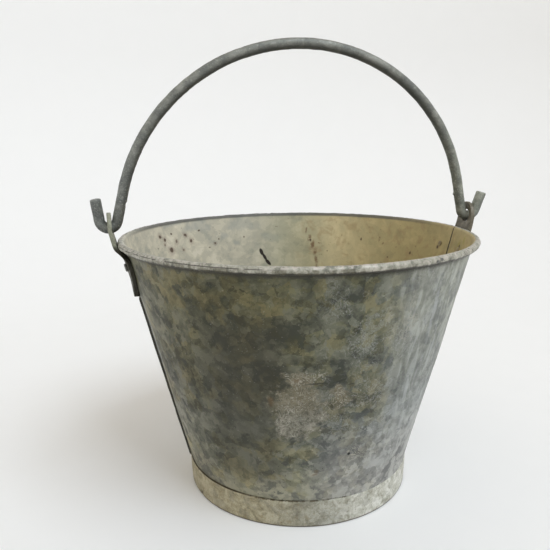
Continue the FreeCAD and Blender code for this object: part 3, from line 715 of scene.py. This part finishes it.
def bar_zinc(name, dark, middle, light, grain=6.0, bar=False, inner=False, strap=False):
    """Zinc on the small thick pieces.

    bar paints shade under the handle and a highlight on one leg, with worn flecks on both. strap paints
    shade on the part of an ear below the rim. inner paints what stands inside the wall like the wall.
    """
    p = Paint(name, 0.2)
    mid = p.noise(grain * 1.6, 4.0, 0.6, 0.4)
    fine = p.noise(1.0, 3.0, 0.6)
    level = p.total((0.12, p.flakes(grain, 0.9, 0.5)[0]), (1.0, mid), (0.18, fine))
    tone = p.ramp(level, [(0.48, dark), (0.66, middle), (0.84, light)])
    worn = p.span(p.noise(2.2, 4.0, 0.7), 0.57, 0.61)
    tone = p.lay(tone, worn, 0.45, tuple(c * 1.25 for c in light))
    chips = p.span(p.noise(1.7, 3.0, 0.65), 0.38, 0.33)
    tone = p.lay(tone, chips, 0.5, tuple(c * 0.5 for c in dark))
    left = p.span(p.x, 0.05, -0.05)
    gloss = PLAIN_GLOSS
    if bar:
        # painted shade on the underside of the handle
        tone = p.lay(tone, p.span(p.facing(2), 0.25, -0.7), 0.8, tuple(c * 0.25 for c in dark))
        legs = p.span(p.z, 0.36, 0.28)
        # painted highlight on one leg, painted shade on the other
        lit = p.mix(left, (1.32, 1.34, 1.26), (0.88, 0.90, 0.92))
        tone = p.mix(legs, tone, p.tinted(tone, lit))
        flecks = p.both(p.span(p.noise(1.4, 3.0, 0.7), 0.57, 0.62), legs)
        tone = p.lay(tone, flecks, 0.5, (0.42, 0.43, 0.40))
    if strap:
        tone = p.tinted(tone, p.mix(left, (0.70, 0.63, 0.58), (1.25, 1.28, 1.2)))
        # painted shade on the part of the ear below the rim: darkest on its edges, mottled on its outer face
        low = p.span(p.math("ADD", p.z, p.both(mid, 0.006)), 0.2420, 0.2350)
        broad = p.span(p.math("ABSOLUTE", p.facing(0)), 0.75, 0.92)
        strap_shade_tones = p.ramp(level, [
            (0.50, (0.050, 0.045, 0.036)), (0.66, (0.085, 0.082, 0.068)), (0.80, (0.14, 0.14, 0.12))])
        low_tone = p.mix(p.both(broad, 0.8), (0.030, 0.027, 0.022), strap_shade_tones)
        tone = p.lay(tone, low, 0.93, low_tone)
        gloss = p.math("MULTIPLY_ADD", low, -0.35, PLAIN_GLOSS)
    if inner:
        flat = p.node("ShaderNodeCombineXYZ", {0: p.x, 1: p.y}).outputs[0]
        radius = p.node("ShaderNodeVectorMath", {0: flat}, operation="LENGTH").outputs["Value"]
        depth = p.total((1.0, radius), (-math.tan(FLARE), p.z))
        edge = (wall_in(0) + 0.3) * MM
        tone = p.lay(tone, p.span(depth, edge, edge - 0.3 * MM), None, p.ramp(level, [
            (0.5, (0.20, 0.15, 0.085)), (0.8, (0.42, 0.36, 0.22))]))
    rough = p.ramp(level, [(0.5, 0.58), (0.85, 0.42)])
    return p.finish(tone, rough, p.total((1.0, mid), (0.7, fine)), 0.25, gloss)


def bottom_zinc():
    p = Paint("bottom_zinc", 0.1)
    mid = p.noise(22, 4.0, 0.6, 0.7)
    level = p.total((0.14, p.flakes(11, 0.9, 0.1)[0]), (1.0, mid))
    ring = p.node("ShaderNodeVectorMath", {0: p.place}, operation="LENGTH").outputs["Value"]
    tone = p.ramp(level, [
        (0.42, (0.20, 0.185, 0.145)), (0.56, (0.33, 0.305, 0.235)), (0.72, (0.44, 0.41, 0.33)),
    ])
    tone = p.lay(tone, p.span(ring, 0.070, 0.101), p.noise(20, 3.0, 0.6), (0.17, 0.11, 0.065))
    tone = p.lay(tone, p.span(p.noise(4.0, 3.0, 0.6), 0.66, 0.73), None, (0.12, 0.07, 0.04))
    rough = p.ramp(level, [(0.4, 0.65), (0.75, 0.5)])
    return p.finish(tone, rough, p.total((1.0, mid), (0.5, p.noise(1.6, 4.0, 0.6))), 0.2)


OUTSIDE, INSIDE, RIM = outside_zinc(), inside_zinc(), rim_zinc()
BAND, BOTTOM = band_zinc(), bottom_zinc()
BAR = bar_zinc("bail_zinc", (0.15, 0.158, 0.148), (0.215, 0.222, 0.20), (0.32, 0.325, 0.295), 9.0, bar=True)
EAR = bar_zinc("ear_zinc", (0.15, 0.15, 0.12), (0.21, 0.21, 0.17), (0.29, 0.29, 0.245), 6.0, strap=True)
RIVET = bar_zinc("rivet_zinc", (0.06, 0.06, 0.055), (0.12, 0.12, 0.105), (0.20, 0.20, 0.175), 3.0, inner=True)
WIRE = bar_zinc("wire_zinc", (0.10, 0.10, 0.095), (0.16, 0.16, 0.145), (0.26, 0.26, 0.24), 4.0)


# ---- Body: two walls with the rolled rim ----
SEEN_Z = 170.0            # the inside is modelled more finely above this height


def wall_section():
    """Section loop, anticlockwise, with the kind of each stretch: 0 outside, 1 inside, 2 curl."""
    tangent = 180 - math.degrees(FLARE)

    def curl(radius, angle):
        a = math.radians(angle)
        return BEAD_AT[0] + radius * math.cos(a), BEAD_AT[1] + radius * math.sin(a)

    top_out, top_in = curl(WIRE_R, tangent), curl(BEAD_R, tangent)
    outer = spread([(wall_out(WALL_BASE), WALL_BASE), (wall_out(40), 40), top_out], 1.5)
    wire_side = [curl(WIRE_R, a) for a in np.linspace(tangent, CURL_END, 22)[1:]]
    skin_side = [curl(BEAD_R, a) for a in np.linspace(CURL_END, tangent, 44)]
    middle = (wall_in(SEEN_Z), SEEN_Z)
    inner = spread([top_in, middle], 1.1)[1:] + spread([middle, (wall_in(FLANGE_Z), FLANGE_Z)], 2.8)[1:]
    loop = outer + wire_side + skin_side + inner
    rolled = [2 if r > BEAD_AT[0] - 1.2 or z < BEAD_AT[1] - 2 else 1 for r, z in skin_side]
    kinds = [0] * len(outer) + [2] * len(wire_side) + rolled + [1] * len(inner)
    return loop, kinds


DENTS = [            # azimuth, height, half width, half height, depth (millimetres)
    (-60, 150, 22, 60, 0.9), (-47, 120, 14, 70, -0.7), (-75, 90, 30, 35, 0.6), (-128, 175, 35, 30, 0.7),
    (-150, 110, 20, 55, -0.6), (-104, 119, 34, 40, 0.5), (40, 140, 30, 60, 0.9), (110, 120, 45, 40, 0.8),
    (150, 180, 26, 40, -0.7), (75, 205, 40, 22, 0.7), (-95, 215, 40, 16, -0.4), (20, 70, 24, 30, 0.6),
]


def dented(azimuth, loop, dents):
    """How far the dents push each point of a turned skin towards the axis."""
    radius, height = loop[None, :, 0], loop[None, :, 1]
    depth = np.zeros(np.broadcast(azimuth, radius).shape)
    for az, z, half_w, half_h, deep in dents:
        arc = np.radians(wrap(azimuth - az)) * radius
        depth += deep * np.exp(-(arc / half_w) ** 2 - ((height - z) / half_h) ** 2)
    return depth


def filled(azimuth):
    """1 where zinc fills the crevice over the foot band, 0 where it is open."""
    return ease(wrap(azimuth + 90), 4, 18) * (1 - ease(wrap(azimuth + 90), 120, 140))


def wall_shift(kinds):
    kinds = np.array(kinds)
    outside, inside, curl = (kinds == 0) * 1.0, (kinds == 1) * 1.0, (kinds == 2) * 1.0

    def shift(points, azimuth, loop):
        radius, height = loop[None, :, 0], loop[None, :, 1]
        clear = ease(height, 30, 55)
        away = 0.5 * lumps(points, 70, 3, 2) * clear - dented(azimuth, loop, DENTS) * clear
        square = outside * (0.10 * lumps(points, 7, 11) + 0.05 * lumps(points, 2.6, 14, 1))
        square = square + inside * 0.07 * lumps(points, 9, 21)
        square = square + curl * (0.24 * lumps(points, 9, 31) + 0.16 * lumps(points, 2.8, 35, 1))
        chips = ease(lumps(points, 6, 41), 0.45, 0.75)
        square = square - curl * chips * 0.45
        gap = np.linalg.norm(points - np.array(CRUST_AT), axis=-1) + 9 * lumps(points, 12, 51)
        crust = 1 - ease(gap, 18, 44)
        rugged = 0.25 + 0.38 * lumps(points, 4.5, 55) + 0.2 * lumps(points, 2.0, 58, 1)
        square = square + outside * crust * rugged
        pit = np.linalg.norm(points - np.array(PIT_AT), axis=-1)
        square = square - outside * 0.5 * np.exp(-(pit / 1.5) ** 2)
        zinc = np.exp(-np.maximum(height - BAND_TOP, 0) / 2.6) * (1 - ease(height, 31, 36))
        square = square + outside * filled(azimuth) * zinc * 0.85
        for seam in SEAMS:
            arc = np.radians(wrap(azimuth - seam)) * radius
            along = ease(height, SEAM_LOW - 2, SEAM_LOW + 2)
            along = along * (1 - ease(height, SEAM_HIGH - 1, SEAM_HIGH + 1))
            ridge = 1 - ease(np.abs(arc), SEAM_HALF - 0.5, SEAM_HALF + 0.5)
            square = square + outside * SEAM_PROUD * ridge * along * (1 + 0.05 * lumps(points, 9, 61))
            line = np.exp(-(arc / 0.55) ** 2)
            square = square - inside * 0.45 * line
            square = square - outside * 0.35 * line * (1 - along)
        return square, away

    return shift


def seam_shade(points, azimuth):
    """Distance across the painted shade along each seam, 1 at its edge, fading out at the seam's ends."""
    height = points[..., 2]
    arc = np.min([np.abs(np.radians(wrap(azimuth - a))) * wall_out(height) for a in SEAM_SHADE_AT], axis=0)
    width = 1.5 + 0.5 * lumps(points, 9, 501, 2)
    beyond = (1 - ease(height, SEAM_LOW - 2, SEAM_LOW + 2)) + ease(height, SEAM_HIGH - 1, SEAM_HIGH + 3)
    return arc / width + 3 * beyond


def grown(places, times):
    return [(azimuth, z, half_w * times, half_h * times, tilt) for azimuth, z, half_w, half_h, tilt in places]


WALL_MARKS = {            # places, how far their outline wanders, and over what length it does
    "dark": (DARK_PATCHES, 3.0, 7.0), "light": (LIGHT_PATCHES, 3.0, 7.0), "pale": (PALE_STREAKS, 1.5, 7.0),
    "crust": (CRUST, 6.0, 10.0), "lace": (CRUST_SIDE, 4.0, 7.0), "brown": (BROWN, 1.0, 4.0),
    "blue": (BLUE_PATCHES, 4.0, 12.0), "cream": (CREAM_PATCHES, 4.0, 12.0), "yellow": (YELLOW, 2.0, 7.0),
    "halo": (grown(RUST_PITS[:STAINED_PITS], 3.4), 1.0, 3.0), "pits": (grown(RUST_PITS, 1.4), 0.6, 2.5),
    "streaks": (RUST_STREAKS, 1.0, 4.0),
}


def wall_fields(points, azimuth):
    fields = {name: ovals(points, azimuth, *mark) for name, mark in WALL_MARKS.items()}
    fields["seam"] = seam_shade(points, azimuth)
    return fields


def wall_azimuths(start, end, step):
    """Azimuths from start to end, close together over each seam."""
    out, here = [], start
    while here < end - 1e-6:
        out.append(here)
        at_seam = min(abs(wrap(here - s)) for s in SEAMS) < 3.0
        here += 0.16 if at_seam else step
    return out + [end]


SEAM_SIDE = 2.6          # each wall begins this many degrees before its seam's middle
loop, kinds = wall_section()
front = lathe("front_wall", loop, wall_azimuths(SEAMS[1] - SEAM_SIDE, 360 + SEAMS[0] - SEAM_SIDE, 0.52),
              wall_shift(kinds), [OUTSIDE, INSIDE, RIM], kinds, wall_fields)
back = lathe("back_wall", loop, wall_azimuths(SEAMS[0] - SEAM_SIDE, SEAMS[1] - SEAM_SIDE, 0.7),
             wall_shift(kinds), [OUTSIDE, INSIDE, RIM], kinds, wall_fields)
for piece, node in ((front, "front_panel"), (back, "back_panel")):
    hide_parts(node)
    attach(piece, "pail")


# ---- Bottom ----
def bottom_shift(points, azimuth, loop):
    return 0.05 * lumps(points, 6, 71), 0.0


CENTRE_R = 0.5            # radius of the tiny hole left where the turned bottom closes
FOLD_IN = wall_out(FOLD_TOP) + 0.4
bottom_loop = spread([
    (CENTRE_R, BOTTOM_Z), (FOLD_R, BOTTOM_Z), (FOLD_R, FOLD_TOP), (FOLD_IN, FOLD_TOP), (FOLD_IN, WALL_BASE),
    (FOLD_R - SHEET, WALL_BASE), (FOLD_R - SHEET, FLANGE_Z), (CENTRE_R, FLANGE_Z), (CENTRE_R, BOTTOM_Z),
], 1.6)[:-1]
bottom = lathe("bottom_pan", bottom_loop, list(np.linspace(0, 360, 241)), bottom_shift, [BOTTOM])
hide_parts("bottom_disc")
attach(bottom, "pail")


# ---- Foot band ----
def band_in(z):
    return BAND_R - BAND_SHEET + (BAND_HIGH_R - BAND_R) * z / BAND_CRIMP


top_in = wall_out(BAND_TOP)
band_loop = spread([
    (BAND_R - 1.5, 0.0), (BAND_R - 0.5, 0.0), (BAND_R - 0.05, 0.45), (BAND_R + 0.3, 6),
    (BAND_HIGH_R, BAND_CRIMP - 0.6),
    (BAND_HIGH_R - 0.05, BAND_CRIMP + 0.5), (top_in + BAND_SHEET, BAND_TOP - 0.3),
    (top_in + BAND_SHEET - 0.3, BAND_TOP), (top_in + 0.1, BAND_TOP), (BAND_HIGH_R - BAND_SHEET, BAND_CRIMP),
    (band_in(BAND_HEM), BAND_HEM), (band_in(BAND_HEM) - 0.9, BAND_HEM), (BAND_R - 2.0, 0.5),
    (BAND_R - 1.5, 0.0),
], 0.7)[:-1]
BAND_DENTS = [
    (*BAND_CHIP, 3.0, 2.2, 0.8), (-128, 12, 14, 9, 0.35), (-70, 14, 18, 8, 0.35), (-100, 7, 22, 6, -0.2),
    (-40, 10, 12, 8, 0.4), (20, 12, 16, 8, 0.5), (140, 10, 15, 8, 0.4),
]


def band_shift(points, azimuth, loop):
    height = loop[None, :, 1]
    away = 0.25 * lumps(points, 45, 81, 2) - dented(azimuth, loop, BAND_DENTS)
    outer = ring_normals(loop)[None, :, 0] > 0.5
    lap = 1 - ease(np.abs(wrap(azimuth - LAP_AT)), 3.8, 4.1)
    away = away + outer * BAND_SHEET * lap * (1 - ease(height, BAND_CRIMP - 1, BAND_TOP))
    square = 0.09 * lumps(points, 6, 91) + 0.05 * lumps(points, 2.2, 95, 1)
    lifted = ease(height, BAND_CRIMP, BAND_TOP)
    square = square + lifted * 0.35 * lumps(points, 14, 97, 2)
    square = square * ease(height, 0.0, 1.2)
    return square, away


band = lathe("foot_hoop", band_loop, list(np.linspace(0, 360, 601)), band_shift, [BAND])
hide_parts("foot_band")
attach(band, "pail")


# ---- Thick pieces: the CAD solid with rounded edges and a lumpy dipped skin ----
def cast(node, name, voxel, passes, material, body, marks=(), depth=0.12, size=5.0,
         reshape=None):
    """marks are (point, reach, height) bumps or nicks, in millimetres."""
    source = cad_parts[node]
    rough = bpy.data.objects.new(name + "_rough", source.data.copy())
    bpy.context.scene.collection.objects.link(rough)
    skin = rough.modifiers.new("skin", "REMESH")
    skin.mode = "VOXEL"
    skin.voxel_size = voxel * MM
    soft = rough.modifiers.new("soft", "SMOOTH")
    soft.factor = 0.5
    soft.iterations = passes
    bpy.context.view_layer.update()
    mesh = bpy.data.meshes.new_from_object(rough.evaluated_get(bpy.context.evaluated_depsgraph_get()))
    bpy.data.objects.remove(rough)
    mesh.name = name
    count = len(mesh.vertices)
    co, normal = np.zeros(count * 3), np.zeros(count * 3)
    mesh.vertices.foreach_get("co", co)
    mesh.vertex_normals.foreach_get("vector", normal)
    co, normal = co.reshape(-1, 3) / MM, normal.reshape(-1, 3)
    move = depth * lumps(co, size, 7) + depth * 0.5 * lumps(co, size * 0.35, 17, 1)
    for point, reach, height in marks:
        gap = np.linalg.norm(co - np.array(point), axis=1)
        move = move + height * np.exp(-(gap / reach) ** 2)
    co = co + normal * move[:, None]
    if reshape:
        co = reshape(co, normal)
    mesh.vertices.foreach_set("co", (co * MM).ravel())
    mesh.materials.clear()
    mesh.materials.append(material)
    mesh.polygons.foreach_set("use_smooth", [True] * len(mesh.polygons))
    piece = bpy.data.objects.new(name, mesh)
    bpy.context.scene.collection.objects.link(piece)
    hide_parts(node)
    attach(piece, body)
    return piece


def ear_reshape(co, normal):
    """Close the strap's inner face onto the wall and let zinc narrow the top of the eye."""
    radius = np.hypot(co[:, 0], co[:, 1])
    out = co[:, :2] / radius[:, None]
    facing = (normal[:, :2] * out).sum(axis=1)
    strap = (1 - ease(co[:, 2], 200, 212)) * ease(-facing, 0.3, 0.7)
    gap = np.maximum(radius - wall_out(co[:, 2]) - 0.15, 0)
    co = co.copy()
    co[:, :2] -= out * (strap * np.minimum(gap, 1.6))[:, None]
    sideways = np.abs(co[:, 1] - EAR_Y)
    from_eye = np.hypot(sideways, co[:, 2] - EYE_Z)
    inward = -(normal[:, 2] * (co[:, 2] - EYE_Z)) / np.maximum(from_eye, 1e-6)
    build = ease(co[:, 2], EYE_Z + 1, EYE_Z + 5) * (from_eye < EYE_R + 0.8) * ease(inward, 0.2, 0.6)
    co[:, 2] -= 3.0 * build
    return co


BAIL_MARKS = [              # runs and nicks in the zinc: point, reach, height
    ((153.4, -8.6, 272.0), 1.3, 3.4), ((-155.4, -8.5, 271.4), 1.5, -0.9), ((-155.2, -8.8, 274.5), 1.2, 0.8),
]
for side in ("left", "right"):
    cast(side + "_ear", side + "_lug", 0.55, 4, EAR, "pail", depth=0.12, size=6.0,
         reshape=ear_reshape)
    cast(side + "_ear_rivets", side + "_lug_rivets", 0.35, 5, RIVET, "pail", depth=0.12, size=2.5)
cast("bail", "bail_bar", 0.75, 5, BAR, "handle", BAIL_MARKS, 0.16, 9.0)

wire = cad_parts["rim_wire"]
wire.data.materials.clear()
wire.data.materials.append(WIRE)


# ---- Floor, backdrop, light and camera ----
def white(name, colour):
    p = Paint(name)
    grain = p.noise(40, 3.0, 0.5)
    tone = p.mix(grain, colour, tuple(c * 0.985 for c in colour))
    return p.finish(tone, 0.85, p.noise(3, 2.0, 0.5), 0.01, 0.1)


view_turn = math.radians(VIEW_TURN)
ahead = (-math.sin(view_turn), math.cos(view_turn))
right = (math.cos(view_turn), math.sin(view_turn))

# a round white bowl: flat floor, a wide curve, and a wall that is lower towards the lamp (metres)
FLOOR_R, CURVE_R, WALL_HIGH, WALL_LOW, SIDES = 0.60, 0.55, 1.10, 0.75, 144
FLOOR_Z = -0.0002         # just under the foot, so that the two do not share a plane
BEND = np.linspace(0, math.pi / 2, 30)
bowl = []
for i in range(SIDES):
    angle = 2 * math.pi * i / SIDES
    out = (math.cos(angle), math.sin(angle))
    behind = out[0] * ahead[0] + out[1] * ahead[1]
    top = WALL_LOW + (WALL_HIGH - WALL_LOW) * ease(behind, -0.85, -0.5)
    bend = [(FLOOR_R + CURVE_R * math.sin(a), CURVE_R - CURVE_R * math.cos(a)) for a in BEND]
    profile = [(FLOOR_R - 0.1, 0.0), *bend, (FLOOR_R + CURVE_R, top)]
    bowl += [(out[0] * r / MM, out[1] * r / MM, (h + FLOOR_Z) / MM) for r, h in profile]
rows = len(profile)
faces = [tuple(i * rows for i in range(SIDES))]
for i in range(SIDES):
    j = (i + 1) % SIDES
    faces += [(i * rows + r, i * rows + r + 1, j * rows + r + 1, j * rows + r) for r in range(rows - 1)]
floor = new_piece("floor", bowl, faces, [white("paper", (0.91, 0.905, 0.90))])

world = bpy.data.worlds.new("studio")
bpy.context.scene.world = world
world.use_nodes = True
world.node_tree.nodes["Background"].inputs["Color"].default_value = (1.0, 0.915, 0.775, 1.0)
world.node_tree.nodes["Background"].inputs["Strength"].default_value = 0.63


def softbox(name, place, size, power, colour):
    """Square lamp aimed at the pail's foot; place is right of it, behind it and above it (metres)."""
    data = bpy.data.lights.new(name, "AREA")
    data.shape = "SQUARE"
    data.size = size
    data.energy = power
    data.color = colour
    lamp = bpy.data.objects.new(name, data)
    aside, behind, high = place
    at = Vector((right[0] * aside + ahead[0] * behind, right[1] * aside + ahead[1] * behind, high))
    lamp.location = at
    lamp.rotation_euler = (-at).to_track_quat("-Z", "Y").to_euler()
    bpy.context.scene.collection.objects.link(lamp)


softbox("key", (0.62, -2.10, 3.35), 2.2, 85.0, (0.78, 0.88, 1.0))

LENS, SENSOR = 41.0674909, 36      # millimetres
camera_data = bpy.data.cameras.new("camera")
camera_data.lens = LENS
camera_data.sensor_width = SENSOR
camera_data.clip_start = 0.01
camera = bpy.data.objects.new("camera", camera_data)
HEADING, PITCH, ROLL = math.radians(11.939), math.radians(12.2526), math.radians(-0.5012)
aimed = Matrix.Rotation(-HEADING, 4, "Z") @ Matrix.Rotation(math.pi / 2 - PITCH, 4, "X")
stand = Matrix.Translation((-0.14188, -0.56904, 0.32590))
camera.matrix_world = stand @ aimed @ Matrix.Rotation(ROLL, 4, "Z")
bpy.context.scene.collection.objects.link(camera)
bpy.context.scene.camera = camera
bpy.context.scene.view_settings.view_transform = "Standard"
